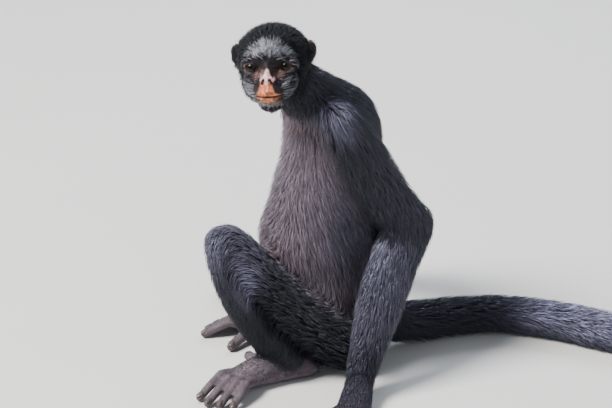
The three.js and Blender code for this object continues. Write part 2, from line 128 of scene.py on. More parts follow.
def part_of(node):
    """The kind of part that a node is, such as toe for toe_left_3."""
    return next(kind for kind in COAT if node.startswith(kind))


# ---- small sums


def unit(v):
    return v / np.maximum(np.linalg.norm(v, axis=-1, keepdims=True), 1e-9)


def far(v):
    """The length of each row of numbers."""
    return np.linalg.norm(v, axis=1)


def mix(a, b, t):
    return a + (b - a) * t


def rise(x, low, high):
    """0 below low, 1 above high, and a soft slope between them."""
    t = np.clip((x - low) / (high - low), 0, 1)
    return t * t * (3 - 2 * t)


def fall(x, low, high):
    return 1 - rise(x, low, high)


def band(x, low, enter, leave, high):
    """1 from enter to leave, and 0 below low and above high."""
    return rise(x, low, enter) * fall(x, leave, high)


def bell(x):
    """1 at 0, and next to nothing beyond 2 on either side."""
    return np.exp(-(x**2))


def to_head(points):
    """Places in the head's own frame: x to its left, y to its back, z up."""
    return (points - SKULL) @ HEAD_AXES


def from_head(points):
    return points @ HEAD_AXES.T + SKULL


def along(path, points):
    """How far along a line each place lies, from 0 to 1, and the line's direction there."""
    path = np.array(path, float)
    least = np.full(len(points), np.inf)
    reach = np.zeros(len(points))
    ahead = np.zeros((len(points), 3))
    walked = 0
    for start, step in zip(path, np.diff(path, axis=0)):
        length = np.linalg.norm(step)
        share = np.clip((points - start) @ step / length**2, 0, 1)
        gap = far(points - start - share[:, None] * step)
        near = gap < least
        least[near] = gap[near]
        reach[near] = walked + share[near] * length
        ahead[near] = step / length
        walked += length
    return reach / walked, ahead


def ripple(points, size, seed):
    """A soft uneven field between about -1 and 1, with lumps of the given size."""
    draw = np.random.default_rng(seed)
    total = np.zeros(len(points))
    for _ in range(7):
        way = unit(draw.normal(size=3)) * draw.uniform(0.7, 1.5) * 2 * math.pi / size
        total += np.sin(points @ way + draw.uniform(0, 6.3))
    return total / 2.6


# ---- meshes


def mesh_of(name, points, faces):
    """A smooth mesh from places in millimetres and faces that all have as many corners."""
    mesh = bpy.data.meshes.new(name)
    sides = faces.shape[1]
    mesh.vertices.add(len(points))
    mesh.vertices.foreach_set("co", (points * MM).astype(np.float32).ravel())
    mesh.loops.add(faces.size)
    mesh.loops.foreach_set("vertex_index", faces.astype(np.int32).ravel())
    mesh.polygons.add(len(faces))
    mesh.polygons.foreach_set("loop_start", np.arange(0, faces.size, sides, dtype=np.int32))
    mesh.polygons.foreach_set("use_smooth", np.ones(len(faces), bool))
    mesh.update(calc_edges=True)
    return mesh


def object_of(name, mesh):
    thing = bpy.data.objects.new(name, mesh)
    bpy.context.scene.collection.objects.link(thing)
    return thing


def read(mesh):
    """A mesh's places in millimetres, and its faces where all have as many corners."""
    points = np.empty(len(mesh.vertices) * 3)
    mesh.vertices.foreach_get("co", points)
    corners = np.empty(len(mesh.loops), np.int64)
    mesh.loops.foreach_get("vertex_index", corners)
    return points.reshape(-1, 3) / MM, corners.reshape(len(mesh.polygons), -1)


def finished(thing):
    """The mesh of an object with its modifiers applied. The object goes."""
    ready = thing.evaluated_get(bpy.context.evaluated_depsgraph_get())
    mesh = bpy.data.meshes.new_from_object(ready)
    bpy.data.objects.remove(thing)
    return mesh


def reworked(mesh, work):
    """A mesh after a piece of work on its corners and faces."""
    bm = bmesh.new()
    bm.from_mesh(mesh)
    work(bm)
    bm.to_mesh(mesh)
    bm.free()
    return mesh


def nearest(tree, points):
    """The place on a surface that is nearest to each place, and the number of its face."""
    found = [tree.find_nearest(p) for p in points.tolist()]
    return np.array([f[0] for f in found]), np.array([f[2] for f in found])


def nearest_corner(corners, points):
    """The number of the corner that is nearest to each place."""
    tree = KDTree(len(corners))
    for number, p in enumerate(corners.tolist()):
        tree.insert(p, number)
    tree.balance()
    return np.array([tree.find(p)[1] for p in points.tolist()])


def put_values(mesh, **values):
    for name, value in values.items():
        field = mesh.attributes.new(name, "FLOAT", "POINT")
        field.data.foreach_set("value", np.asarray(value, np.float32))


class Shell:
    """A closed surface, with what each of its corners has beside it."""

    def __init__(self, points, faces):
        self.points, self.faces = points, faces
        count = len(points)
        turned = np.roll(faces, -1, axis=1)
        there_and_back = [faces * count + turned, turned * count + faces]
        pairs = np.unique(np.concatenate([pair.ravel() for pair in there_and_back]))
        here, self.beside = pairs // count, pairs % count
        self.starts = np.searchsorted(here, np.arange(count))
        self.number = np.maximum(np.diff(np.append(self.starts, len(pairs))), 1)

    def around(self, values):
        """The mean of a value over the corners beside each corner."""
        total = np.add.reduceat(values[self.beside], self.starts, axis=0)
        return (total.T / self.number).T

    def eased(self, values, rounds):
        for _ in range(rounds):
            values = mix(values, self.around(values), 0.8)
        return values

    def ease(self, rounds, share=1.0):
        """Smooths the surface; each corner takes part in its own number of rounds."""
        rounds = np.broadcast_to(rounds, len(self.points))
        for turn in range(int(rounds.max())):
            part = (rounds > turn)[:, None] * share
            self.points = mix(self.points, self.around(self.points), part)

    def normals(self):
        p = self.points[self.faces]
        if self.faces.shape[1] == 4:
            across = np.cross(p[:, 2] - p[:, 0], p[:, 3] - p[:, 1])
        else:
            across = np.cross(p[:, 1] - p[:, 0], p[:, 2] - p[:, 0])
        corners = self.faces.ravel()
        sides = self.faces.shape[1]
        return unit(np.stack([
            np.bincount(corners, np.repeat(across[:, k], sides), len(self.points)) for k in range(3)
        ], axis=1))


# ---- the flesh under the coat

VOXEL = 1.6
FLESH = sorted(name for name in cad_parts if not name.startswith("eye"))
EYES = ["eye_left", "eye_right"]


def gathered(names):
    """The corners and triangles of CAD nodes, and the node that each triangle belongs to."""
    points, faces, owners = [], [], []
    start = 0
    for number, name in enumerate(names):
        p, f = read(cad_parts[name].data)
        points.append(p)
        faces.append(f + start)
        owners.append(np.full(len(f), number))
        start += len(p)
    return np.concatenate(points), np.concatenate(faces), np.concatenate(owners)


def joined_flesh(points, faces):
    """One closed surface round all the flesh, on an even grid."""
    overlap = 0.3 * MM

    def swell(bm):
        bmesh.ops.remove_doubles(bm, verts=bm.verts, dist=0.01 * MM)
        bm.normal_update()
        for v in bm.verts:
            v.co += v.normal * overlap

    thing = object_of("flesh", reworked(mesh_of("flesh", points, faces), swell))
    net = thing.modifiers.new("net", "REMESH")
    net.mode = "VOXEL"
    net.voxel_size = VOXEL * MM
    return Shell(*read(finished(thing)))


cad_points, cad_faces, cad_owners = gathered(FLESH + EYES)
cad_owners[cad_owners >= len(FLESH)] = FLESH.index("head")
cad_tree = BVHTree.FromPolygons(cad_points.tolist(), cad_faces.tolist())
flesh = joined_flesh(cad_points, cad_faces)
flesh_owner = cad_owners[nearest(cad_tree, flesh.points)[1]]


def digit_path(node):
    """The line out through a toe or finger, from the front of its foot or hand."""
    kind, side, _ = node.split("_")
    palm = {"toe": "foot_", "finger": "hand_"}[kind] + side
    points, _ = read(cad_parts[node].data)
    root = np.array(PATHS[palm][1], float)
    ahead = unit((points.mean(axis=0) - root) * (1, 1, 0))
    reach = (points - root) @ ahead
    return [root + ahead * reach.min(), root + ahead * reach.max()]


for name in FLESH:
    if name.startswith(("toe", "finger")):
        PATHS[name] = digit_path(name)
    elif name.startswith("tail"):
        PATHS[name] = TAIL_LINE


def belongs(owners, *kinds):
    """Whether each place's node is one of the given kinds."""
    return np.isin(owners, [n for n, name in enumerate(FLESH) if name.startswith(kinds)])


def per_part(owners, points, value):
    """A value for each place from its part's name and how far along the part it lies."""
    result = np.zeros(len(points))
    for number, name in enumerate(FLESH):
        mine = owners == number
        if mine.any():
            reach = along(PATHS[name], points[mine])[0] if name in PATHS else 0
            result[mine] = value(name, reach)
    return result


def coat_value(column, owners, points):
    """One column of the coat's table at each place."""

    def value(name, reach):
        entry = COAT[part_of(name)][column]
        return mix(*entry, reach) if isinstance(entry, tuple) else entry

    return per_part(owners, points, value)


def out_of(centre, half, local):
    """How far out of an egg shape each place is: 0 at its middle, 1 on its surface."""
    return far((local - centre) / half)


def face_share(local):
    """1 on the bare face, 0 under the coat of the head."""
    return fall(out_of((0, -38, -15), (29, 30, 31), local), 0.88, 1.12)


BARE_DEPTH = 0.7


def coat_depth(owners, points, shell):
    depth = shell.eased(coat_value(DEPTH, owners, points), 40)
    for spot, size in BONY:
        depth = depth * (1 - 0.6 * bell(far(points - spot) / size))
    local = to_head(points)
    bare = face_share(local) * (far(local) < HEAD_REACH - 5)
    depth = np.where(belongs(owners, "ear"), COAT["ear"][DEPTH][0], depth)
    return mix(depth, BARE_DEPTH, bare)


def out_to_cad(points, normals):
    """How far outwards the solids reach from each place, less than nothing where it is outside."""
    return ((nearest(cad_tree, points)[0] - points) * normals).sum(axis=1)


MOST_COVER = 22


def cover_of(points, normals):
    """How far outwards each place inside the solids is from their outer surface."""
    covers = np.zeros(len(points))
    nudge = 0.05
    for row, (start, way) in enumerate(zip(points.tolist(), normals.tolist())):
        start, way, gone = Vector(start), Vector(way), 0
        for _ in range(4):
            spot, faced, _, gap = cad_tree.ray_cast(start + way * (gone + nudge), way, MOST_COVER - gone)
            # Two parts that touch have a surface each at the same place, so the ray goes on there.
            if spot is None or (faced.dot(way) < 0 and gap > 0.8):
                break
            gone += gap + nudge
        covers[row] = gone
    return covers


rounds = np.array([EASE.get(part_of(name), BODY_EASE) for name in FLESH])[flesh_owner]
flesh.ease(rounds)
flesh_depth = coat_depth(flesh_owner, flesh.points, flesh)
# Smoothing has moved the flesh already, so what it sank by is taken off the coat's depth.
sunk = np.clip(out_to_cad(flesh.points, flesh.normals()), -8, 24)
flesh_depth = flesh_depth - flesh.eased(sunk, 8)
INSET_STEPS = 6
for step in range(INSET_STEPS):
    flesh.points = flesh.points - flesh.normals() * (flesh_depth / INSET_STEPS)[:, None]
    flesh.ease(np.where(rounds == BODY_EASE, 2, 0))

# ---- fields for the face: less than nothing inside a shape, more than nothing outside


def egg(centre, half):
    centre, half = np.array(centre, float), np.array(half, float)

    def field(p):
        d = (p - centre) / half
        out = far(d)
        return out * (out - 1) / np.maximum(far(d / half), 1e-6)

    return field


def stretch(start, end, start_half, end_half):
    start, end = np.array(start, float), np.array(end, float)
    step = end - start

    def field(p):
        t = np.clip((p - start) @ step / (step @ step), 0, 1)
        return far(p - start - t[:, None] * step) - mix(start_half, end_half, t)

    return field


def soften(a, b, reach):
    h = np.clip(0.5 + 0.5 * (b - a) / reach, 0, 1)
    return mix(b, a, h) - reach * h * (1 - h)


def blend(reach, *fields):
    def field(p):
        total = fields[0](p)
        for f in fields[1:]:
            total = soften(total, f(p), reach)
        return total

    return field


def hollow(reach, body, *tools):
    def field(p):
        total = -body(p)
        for tool in tools:
            total = soften(total, tool(p), reach)
        return -total

    return field


def both(make):
    """A shape on each side of the face."""
    return [make(side) for side in SIDES]


# Where the nostrils run, seen from ahead.
NOSTRILS = both(lambda s: ((3.7 * s, 0, -12.6), (5.2 * s, 0, -15.8)))


def past_lips(p):
    """How far a place is above or below the line where the lips meet."""
    return np.abs(p[:, 2] + 31.4 - 0.004 * p[:, 0] ** 2)


def face_field():
    """The head without its coat: the skull, the muzzle, the nose, the lips and the sockets."""
    flesh_parts = blend(
        9,
        egg((0, 9, 9), (42, 46, 37)),
        egg((0, -12, -8), (32, 25, 36)),
        *both(lambda s: egg((18 * s, -5, -20), (17, 24, 22))),
        egg((0, -31, -23), (18, 20, 17)),
        egg((0, -27, -36), (14, 16, 12)),
        blend(6, *both(lambda s: stretch((5 * s, -34, 13), (25 * s, -28, 12), 7, 6))),
    )
    bridge = stretch((0, -34, 5), (0, -45, -10), 4.6, 5.6)
    wings = both(lambda s: egg((5.4 * s, -47.8, -13.2), (4.9, 5.6, 4.7)))
    septum = stretch((0, -50.6, -11), (0, -50.4, -23), 2.4, 1.9)
    upper_lip = blend(3, *both(lambda s: stretch((0, -48.5, -27.5), (13 * s, -41, -28.5), 3.4, 3)))
    lower_lip = blend(3, *both(lambda s: stretch((0, -46.5, -34.5), (11 * s, -40.5, -33.5), 3, 2.4)))
    whole = blend(5, flesh_parts, bridge)
    whole = blend(2.5, whole, *wings, septum)
    whole = blend(3, whole, upper_lip, lower_lip)
    sockets = both(lambda s: egg((19 * s, -44.5, -0.5), (12.5, 10.6, 8.5)))
    whole = hollow(7, whole, *sockets)

    def nostrils(p):
        across = np.minimum(*[stretch(*line, 1.5, 1.9)(p * (1, 0, 1)) for line in NOSTRILS])
        return np.maximum(across, np.abs(p[:, 1] + 53) - 6)

    whole = hollow(1.0, whole, nostrils)

    def slit(p):
        return np.maximum.reduce([past_lips(p) - 0.5, -whole(p) - 1.9, np.abs(p[:, 0]) - 15.5])

    return hollow(1.0, whole, slit)


def slope(field, p):
    step = 0.05
    here = field(p)
    return here, np.stack([field(p + step * axis) - here for axis in np.eye(3)], axis=1) / step


def laid_on(field, p, share, rounds=9, reach=1.5):
    """Moves places on to a field's surface, as far as their share says."""
    for _ in range(rounds):
        here, way = slope(field, p)
        push = np.clip(here / np.maximum((way**2).sum(axis=1), 0.2), -reach, reach)
        p = p - way * (push * share)[:, None]
    return p


# ---- the skin

EYE_AT = {side: np.array((19.0 * side, -24.5, 0.0)) for side in SIDES}
EYE_HALF = 9.5
LID_WIDE, LID_HIGH = math.radians(37), math.radians(24)


def finer(mesh, local_mask):
    """Halves the edges of a mesh where the mask of its places in the head's frame is true."""

    def halve(bm):
        inside = local_mask(to_head(np.array([v.co for v in bm.verts]) / MM))
        edges = [e for e in bm.edges if inside[e.verts[0].index] and inside[e.verts[1].index]]
        bmesh.ops.subdivide_edges(bm, edges=edges, cuts=1, use_grid_fill=True)

    reworked(mesh, halve)


def whole_face(local):
    return out_of((0, -36, -10), (33, 32, 37), local) < 1.12


def features(local):
    """Round the eyes, the nose and the mouth."""
    left_eye, right_eye = both(lambda s: out_of(EYE_AT[s] + (s, -6, 0), (15, 15, 13), local) < 1)
    nose = out_of((0, -46, -12), (13, 14, 14), local) < 1
    mouth = out_of((0, -44, -30), (20, 14, 8), local) < 1
    return left_eye | right_eye | nose | mouth


def round_eye(d, side):
    """How far round the eyeball a place lies from the middle of the opening, whose edge is at 1."""
    r = np.maximum(far(d), 1e-6)
    wide = np.arctan2(d[:, 0] * side, -d[:, 1]) / LID_WIDE
    high = np.arcsin(np.clip(d[:, 2] / r, -1, 1)) / LID_HIGH
    # The outer corner sits a little higher than the inner one, and the upper lid hangs lower.
    high = high - 0.10 * wide
    high = np.where(high > 0, high * 1.12, high)
    return r, high, np.sqrt(wide**2 + high**2 * (1 + 0.45 * wide**2))


def lids(local):
    """Lays the skin over each eyeball as lids, and tucks it inside the ball in the opening."""
    local = local.copy()
    for side in SIDES:
        d = local - EYE_AT[side]
        r, high, out = round_eye(d, side)
        near = (r < 24) & (d[:, 1] < 9)
        lid = mix(EYE_HALF + 0.7, EYE_HALF + 1.15, rise(out, 1.02, 1.3))
        folds = 0.45 * bell((out - 1.62) / 0.11) + 0.3 * bell((out - 1.95) / 0.1)
        bag = 0.9 * bell((out - 1.8) / 0.35) * rise(-high, 0, 1)
        target = mix(EYE_HALF - 1.4, lid, rise(out, 0.93, 1.03))
        radius = mix(r - folds + bag, target, fall(out, 1.25, 1.75))
        # Beyond the rim the skin still wraps the ball, as far back as the corner of the eye.
        radius = np.where(out > 1.03, np.maximum(radius, EYE_HALF + 1.0), radius)
        local[near] = (EYE_AT[side] + d * (radius / r)[:, None])[near]
    return local


def sculpted(mesh):
    """Shapes the face on a mesh that is already fine enough there."""
    points, faces = read(mesh)
    shell = Shell(points, faces)
    local = to_head(shell.points)
    head = far(local) < HEAD_REACH
    bare = face_share(local) * head
    shell.ease(np.where(bare > 0.2, 4, 0))
    local = to_head(shell.points)
    where = np.flatnonzero(bare > 0.01)
    offset = face_field()
    local[where] = laid_on(lambda p: offset(p) + BARE_DEPTH, local[where], bare[where])
    shell.points = from_head(local)
    fine = features(local) & (bare > 0.5)
    shell.ease(np.where(fine, 2, 0), 0.5)
    local = to_head(shell.points)
    where = np.flatnonzero(head & (local[:, 1] < -13))
    local[where] = lids(local[where])
    shell.points = from_head(local)
    return shell


def thinned(shell, target, keep):
    """The skin with fewer faces where it is under the coat."""
    mesh = mesh_of("skin", shell.points, shell.faces)
    thing = object_of("skin", mesh)
    group = thing.vertex_groups.new(name="under the coat")
    loose = np.flatnonzero(~keep)
    group.add(loose.tolist(), 1.0, "REPLACE")
    fewer = thing.modifiers.new("fewer", "DECIMATE")
    fewer.ratio = target / len(shell.faces)
    fewer.vertex_group = group.name
    fewer.vertex_group_factor = 1000
    return Shell(*read(finished(thing)))


SKIN_FACES = 170_000
rough = mesh_of("rough", flesh.points, flesh.faces)
finer(rough, whole_face)
finer(rough, features)
reworked(rough, lambda bm: bmesh.ops.triangulate(bm, faces=bm.faces))
dense = sculpted(rough)
dense_local = to_head(dense.points)
dense_owner = flesh_owner[nearest_corner(flesh.points, dense.points)]
on_face = (face_share(dense_local) > 0.3) & (far(dense_local) < HEAD_REACH)
skin = thinned(dense, SKIN_FACES, belongs(dense_owner, "ear", *PAWS) | on_face)

# ---- how the coat grows

owner = flesh_owner[nearest_corner(flesh.points, skin.points)]
skin_normals = skin.normals()
skin_local = to_head(skin.points)
near_head = far(skin_local) < HEAD_REACH
bare_face = face_share(skin_local) * near_head


def over_skin(ways):
    """Directions laid flat on the skin at each of its corners."""
    return unit(ways - skin_normals * (ways * skin_normals).sum(axis=1, keepdims=True))


def lie_of_coat():
    """The way the hair points at each corner of the skin."""
    lie = np.zeros_like(skin.points)
    for number, name in enumerate(FLESH):
        mine = owner == number
        points, local = skin.points[mine], skin_local[mine]
        if name in PATHS:
            lie[mine] = along(PATHS[name], points)[1]
        else:
            radial = unit(local - (0, -40, 2))
            radial[:, 2] -= 0.9 * rise(local[:, 1], 0, 45)
            radial[:, 2] -= 1.3 * rise(np.abs(local[:, 0]), 24, 37) * rise(local[:, 2], -5, 12)
            lie[mine] = radial @ HEAD_AXES.T
        if name.startswith(("forearm", "upper_arm", "neck")):
            lie[mine] += (0, 0, -0.35)
        if name in ("abdomen", "chest"):
            outward = points - points.mean(axis=0)
            aside = outward - np.outer(outward @ CHEST_AHEAD, CHEST_AHEAD)
            lie[mine] += unit(aside * (1, 1, 0)) * 0.25 - CHEST_AHEAD * 0.15
    for _ in range(3):
        lie = over_skin(skin.eased(lie, 12))
    return lie


def sheen_along(name, reach):
    """How much sheen is painted on the black hair along a part, as pale tips: most on the forearms and the
    tail.
    """
    return {
        "forearm": 0.27 * rise(reach, -0.1, 0.3) * (1 - 0.85 * rise(reach, 0.5, 1)),
        # The tail's far part is painted as lit and its near part as lying in the body's shadow: painted
        # light and painted shadow.
        "tail": mix(0.03, 0.7, rise(reach, 0.19, 0.29)),
        "thigh": 0.19 * rise(reach, 0.66, 0.97),
        "shin": 0.14 * fall(reach, 0.1, 0.45),
        "upper_arm": 0.05, "chest": 0.04, "neck": 0.04, "hand": 0.10, "finger": 0.10,
    }.get(part_of(name), 0)


def painted_sheen():
    """How much painted sheen, as pale tips on the black hair, there is at each corner of the skin, more
    where the skin faces up towards the light.
    """
    share = skin.eased(per_part(owner, skin.points, sheen_along), 10)
    for spot, size, more in SHEEN:
        share = share + more * bell(far(skin.points - spot) / size)
    # Painted light: skin that faces up takes more of the painted sheen.
    lit_from_above = rise(skin_normals[:, 2], -0.6, 0.5)
    return share * mix(0.25, 1, lit_from_above) * mix(0.8, 1.2, rise(ripple(skin.points, 22, 8), -1, 1))


lie = lie_of_coat()
depth = coat_depth(owner, skin.points, skin)
# How far the coat has to stand out to fill the solids' outline.
cover = np.clip(cover_of(skin.points, skin_normals), 0.3 * depth, 1.35 * depth + 1)
cover = skin.eased(cover, 6)
length = skin.eased(coat_value(LENGTH, owner, skin.points), 12)
width = skin.eased(coat_value(WIDTH, owner, skin.points), 12)
crowd = skin.eased(coat_value(CROWD, owner, skin.points) / 100, 4)
trunk = belongs(owner, *TRUNK)
fronting = (skin_normals @ CHEST_AHEAD) * trunk
above = skin.points[:, 2]
under_jaw = fall(above, 332, 352)
throat = skin.eased(rise((skin_normals @ THROAT_AHEAD) * trunk, 0.45, 0.9), 6)
throat = throat * rise(above, 292, 318) * under_jaw
thin = skin.eased(rise(fronting, -0.1, 0.7) * rise(above, 30, 90), 6) * under_jaw
belly = skin.eased(rise(fronting, 0.25, 0.8) * rise(above, 30, 90), 6) * under_jaw
# The painted sheen on the black coat.
pale_hair_and_sheen = painted_sheen()
sole = (skin_normals[:, 2] < -0.35) & belongs(owner, "ear", *PAWS)

# ---- regions of the head

ACROSS, BACK, UP = skin_local.T
OUT = np.abs(ACROSS)
facing = rise(-BACK, 4, 18) * near_head
brow_out = np.hypot(ACROSS / mix(28, 23.5, rise(UP, 9, 17)), (UP - 6) / 20)
brow_edge = UP - 9.5 + np.where(ACROSS > 0, 0.005, 0.002) * ACROSS**2
brow_patch = facing * fall(brow_out, 0.84, 1.06) * rise(brow_edge, -2, 1.5)
whisker_patch = near_head * rise(-BACK, -4, 8) * band(OUT, 12, 17, 29, 36) * band(UP, -40, -34, -19, -13)
chin_patch = facing * fall(OUT, 11, 18) * band(UP, -46, -42, -39, -37)
cheek_patch = facing * rise(OUT, 9, 13) * band(UP, -17, -13, -6, -3)
beard_patch = near_head * rise(-UP, 39.5, 43) * rise(-BACK, 2, 12) * fall(OUT, 22, 28)
temple = near_head * rise(OUT, 29, 34) * band(UP, -12, 0, 26, 34)
# The ear on the animal's right is hidden under long hair; the left one stays open.
on_ear = belongs(owner, "ear")
hidden_ear = on_ear & (ACROSS < 0)
ear_inside = on_ear * rise(skin_normals @ HEAD_AXES @ (0.5, -0.85, 0), 0.05, 0.4) * ~hidden_ear
ear_cover = near_head * ~on_ear * rise(OUT, 30, 34) * band(UP, 4, 12, 30, 38) * band(BACK, -16, -8, 20, 30)
ear_cover = ear_cover * np.where(ACROSS < 0, 1, 0.22)
cover = np.maximum(cover, 1.2 * on_ear + 2.0 * hidden_ear)
bare_face = bare_face * (1 - brow_patch)

crowd = crowd * (1 - bare_face) * (1 - 0.35 * thin) * (1 - 0.8 * throat)
crowd = crowd * (1 - brow_patch) * (1 - 0.9 * ear_inside) * ~sole
length = length * (1 - 0.25 * thin) * (1 + 0.45 * temple) + 7 * hidden_ear
width = width * (1 - 0.3 * thin)
skin_tree = BVHTree.FromPolygons(skin.points.tolist(), skin.faces.tolist())


def grown_roots(crowding, count=None):
    """Root places spread over the skin, with the face and the place in it of each."""
    p = skin.points[skin.faces]
    area = far(np.cross(p[:, 1] - p[:, 0], p[:, 2] - p[:, 0])) / 2
    share = np.cumsum(area * crowding[skin.faces].mean(axis=1))
    count = count or int(share[-1])
    spots = (np.arange(count) + chance.random(count)) / count * share[-1]
    face = np.searchsorted(share, spots).clip(0, len(area) - 1)
    u, v = chance.random((2, count))
    fold = u + v > 1
    u, v = np.where(fold, 1 - u, u), np.where(fold, 1 - v, v)
    return face, np.stack([1 - u - v, u, v], axis=1)


def at(values, face, part):
    """A value of the skin's corners at places inside its faces."""
    corner = values[skin.faces[face]]
    return (corner * part[..., None]).sum(axis=1) if values.ndim > 1 else (corner * part).sum(axis=1)


GUIDE_STEPS = 5


def guides(seeds, lie_field, reach):
    """Lines that run over the skin from each seed along the lie, with the normals there."""
    here = seeds
    lines, ups = [], []
    for step in range(GUIDE_STEPS + 1):
        spot, face = nearest(skin_tree, here)
        up = unit(skin_normals[skin.faces[face]].mean(axis=1))
        way = lie_field[skin.faces[face]].mean(axis=1)
        way = unit(way - up * (way * up).sum(axis=1, keepdims=True))
        lines.append(spot)
        ups.append(up)
        here = spot + way * (reach / GUIDE_STEPS)[:, None]
    return np.stack(lines, axis=1), np.stack(ups, axis=1)


def on_guide(lines, share):
    """Places on guide lines at a share of their length."""
    at_step = np.clip(share * GUIDE_STEPS, 0, GUIDE_STEPS - 1e-6)
    low = at_step.astype(int)
    rows = np.arange(len(lines))
    return mix(lines[rows, low], lines[rows, low + 1], (at_step - low)[:, None])


CELL_PRIMES = (73856093, 19349663, 83492791)


def seeds_among(points, spread):
    """One root in each small cell of space, as the middle of a lock."""
    cell = np.floor(points / spread[:, None]).astype(np.int64)
    code = np.bitwise_xor.reduce(cell * CELL_PRIMES, axis=1)
    return np.unique(code, return_index=True)[1]


def tuft_template(stations):
    """Faces and patch places of one tuft: three sides, a closed root and a pointed tip."""
    last = len(stations) - 1
    faces, places = [], []

    def corner(k, j):
        return 3 * k + j % 3 if k < last else 3 * last

    for k in range(last):
        for j in range(3):
            a, b = stations[k], stations[k + 1]
            if k < last - 1:
                faces += [(corner(k, j), corner(k, j + 1), corner(k + 1, j + 1))]
                places += [((j, a), (j + 1, a), (j + 1, b))]
                faces += [(corner(k, j), corner(k + 1, j + 1), corner(k + 1, j))]
                places += [((j, a), (j + 1, b), (j, b))]
            else:
                faces += [(corner(k, j), corner(k, j + 1), corner(k + 1, j))]
                places += [((j, a), (j + 1, a), (j + 0.5, b))]
    faces += [(0, 2, 1)]
    places += [((0, 0), (3, 0), (1.5, 0.1))]
    return np.array(faces), np.array(places, float) / (3, 1)


# The stations of a tuft from root to tip, and how wide it is at each before the tip.
LONG, SHORT = (0.0, 0.36, 0.7, 1.0), (0.0, 0.5, 1.0)
RING_WIDTHS = (0.85, 1.0, 0.72)
# No tuft comes nearer to the floor than this.
OFF_FLOOR = 0.4
# The size of a tuft's patch on its map, and the most faces that such a map is made from.
PATCH, UNWRAP_FACES = 0.003, 6000


def tufts(name, face, part, lie_field, look, stations=SHORT):
    """A piece of coat: tufts that run along guide lines in locks.

    look has the reach, height, wide, spread, lock, mess and sag of the tufts, and the pale
    and brown that the finish reads.
    """
    roots = at(skin.points, face, part)
    count = len(roots)
    middles = seeds_among(roots, look["spread"])
    lines, line_ups = guides(roots[middles], lie_field, look["reach"][middles])
    lock = nearest_corner(roots[middles], roots)
    lines, line_ups = lines[lock], line_ups[lock]
    shift = roots - lines[:, 0]
    trim = chance.uniform(0.62, 1.0, count)
    high = look["height"] * chance.uniform(0.55, 1.0, count)
    aside = chance.normal(size=count) * look["mess"]
    lift = chance.normal(size=count) * 0.15 * look["mess"]
    pull = look["lock"] * chance.uniform(0.5, 1.0, count)
    middle, level = [], []
    for s in stations:
        share = s * trim
        spot, up = on_guide(lines, share), unit(on_guide(line_ups, share))
        drift = shift - up * (shift * up).sum(axis=1, keepdims=True)
        ahead = on_guide(lines, np.minimum(share + 0.1, 1)) - on_guide(lines, np.maximum(share - 0.1, 0))
        across = unit(np.cross(up, ahead))
        rise_up = high * (1 - (1 - s) ** 1.7) - 0.8 * (s == 0) * np.minimum(1, high / 4)
        place = spot + drift * (1 - pull * s)[:, None] + up * (rise_up + lift * s)[:, None]
        place = place + across * (aside * s**1.4)[:, None]
        place[:, 2] -= look["sag"] * s**2
        place[:, 2] = np.maximum(place[:, 2], OFF_FLOOR)
        middle.append(place)
        level.append(up)
    middle, level = np.stack(middle, axis=1), np.stack(level, axis=1)
    ahead = unit(np.gradient(middle, axis=1))
    across = unit(np.cross(level, ahead))
    up = np.cross(ahead, across)
    roll = chance.normal(size=(count, 1, 1)) * 0.5
    across, up = across * np.cos(roll) + up * np.sin(roll), up * np.cos(roll) - across * np.sin(roll)
    last = len(stations) - 1
    rings = []
    for k in range(last):
        half = look["wide"] * 0.5 * RING_WIDTHS[k] * chance.uniform(0.8, 1.15, count)
        for j in range(3):
            angle = math.radians(90 + 120 * j)
            turn = math.cos(angle) * across[:, k] + 0.75 * math.sin(angle) * up[:, k]
            rings.append(middle[:, k] + turn * half[:, None])
    rings.append(middle[:, last])
    points = np.stack(rings, axis=1)
    template, places = tuft_template(stations)
    size = points.shape[1]
    faces = (template[None] + size * np.arange(count)[:, None, None]).reshape(-1, 3)
    mesh = mesh_of(name, points.reshape(-1, 3), faces)
    reach = np.repeat(np.array(stations), [3] * last + [1])
    values = {"along": np.tile(reach, count), "strand": np.repeat(chance.random(count), size)}
    for key in ("pale", "brown"):
        values[key] = np.repeat(look[key], size)
    put_values(mesh, **values)
    layer = mesh.uv_layers.new(name="OFBake")
    uv = root_map(name, face, roots)[:, None, None, :] + places[None] * PATCH
    layer.data.foreach_set("uv", uv.astype(np.float32).ravel())
    return object_of(name, mesh)


def root_map(name, face, roots):
    """Where each root lies on an unwrap of the skin that this piece of coat grows on."""
    used = np.unique(face)
    points, faces = skin.points, skin.faces[used]
    corners, fresh = np.unique(faces, return_inverse=True)
    patch = mesh_of(name + " unwrap", points[corners], fresh.reshape(-1, 3))
    thing = object_of(name + " unwrap", patch)
    if len(used) > UNWRAP_FACES:
        fewer = thing.modifiers.new("fewer", "DECIMATE")
        fewer.ratio = UNWRAP_FACES / len(used)
        thing = object_of(name + " unwrap", finished(thing))
    bpy.context.view_layer.objects.active = thing
    thing.select_set(True)
    bpy.ops.object.mode_set(mode="EDIT")
    bpy.ops.mesh.select_all(action="SELECT")
    bpy.ops.uv.smart_project(angle_limit=math.radians(66), island_margin=0.01)
    bpy.ops.object.mode_set(mode="OBJECT")
    points, faces = read(thing.data)
    uv = np.empty(len(thing.data.loops) * 2)
    thing.data.uv_layers.active.data.foreach_get("uv", uv)
    uv = uv.reshape(-1, 3, 2)
    tree = BVHTree.FromPolygons(points.tolist(), faces.tolist())
    near = nearest(tree, roots)[1]
    a, b, c = (points[faces[near][:, k]] for k in range(3))
    n = np.cross(b - a, c - a)
    full = np.maximum((n * n).sum(axis=1), 1e-9)
    v = (np.cross(c - b, roots - b) * n).sum(axis=1) / full
    w = (np.cross(a - c, roots - c) * n).sum(axis=1) / full
    part = np.clip(np.stack([v, w, 1 - v - w], axis=1), 0, 1)
    part /= part.sum(axis=1, keepdims=True)
    bpy.data.objects.remove(thing)
    return (uv[near] * part[..., None]).sum(axis=1)


# ---- the coat's pieces

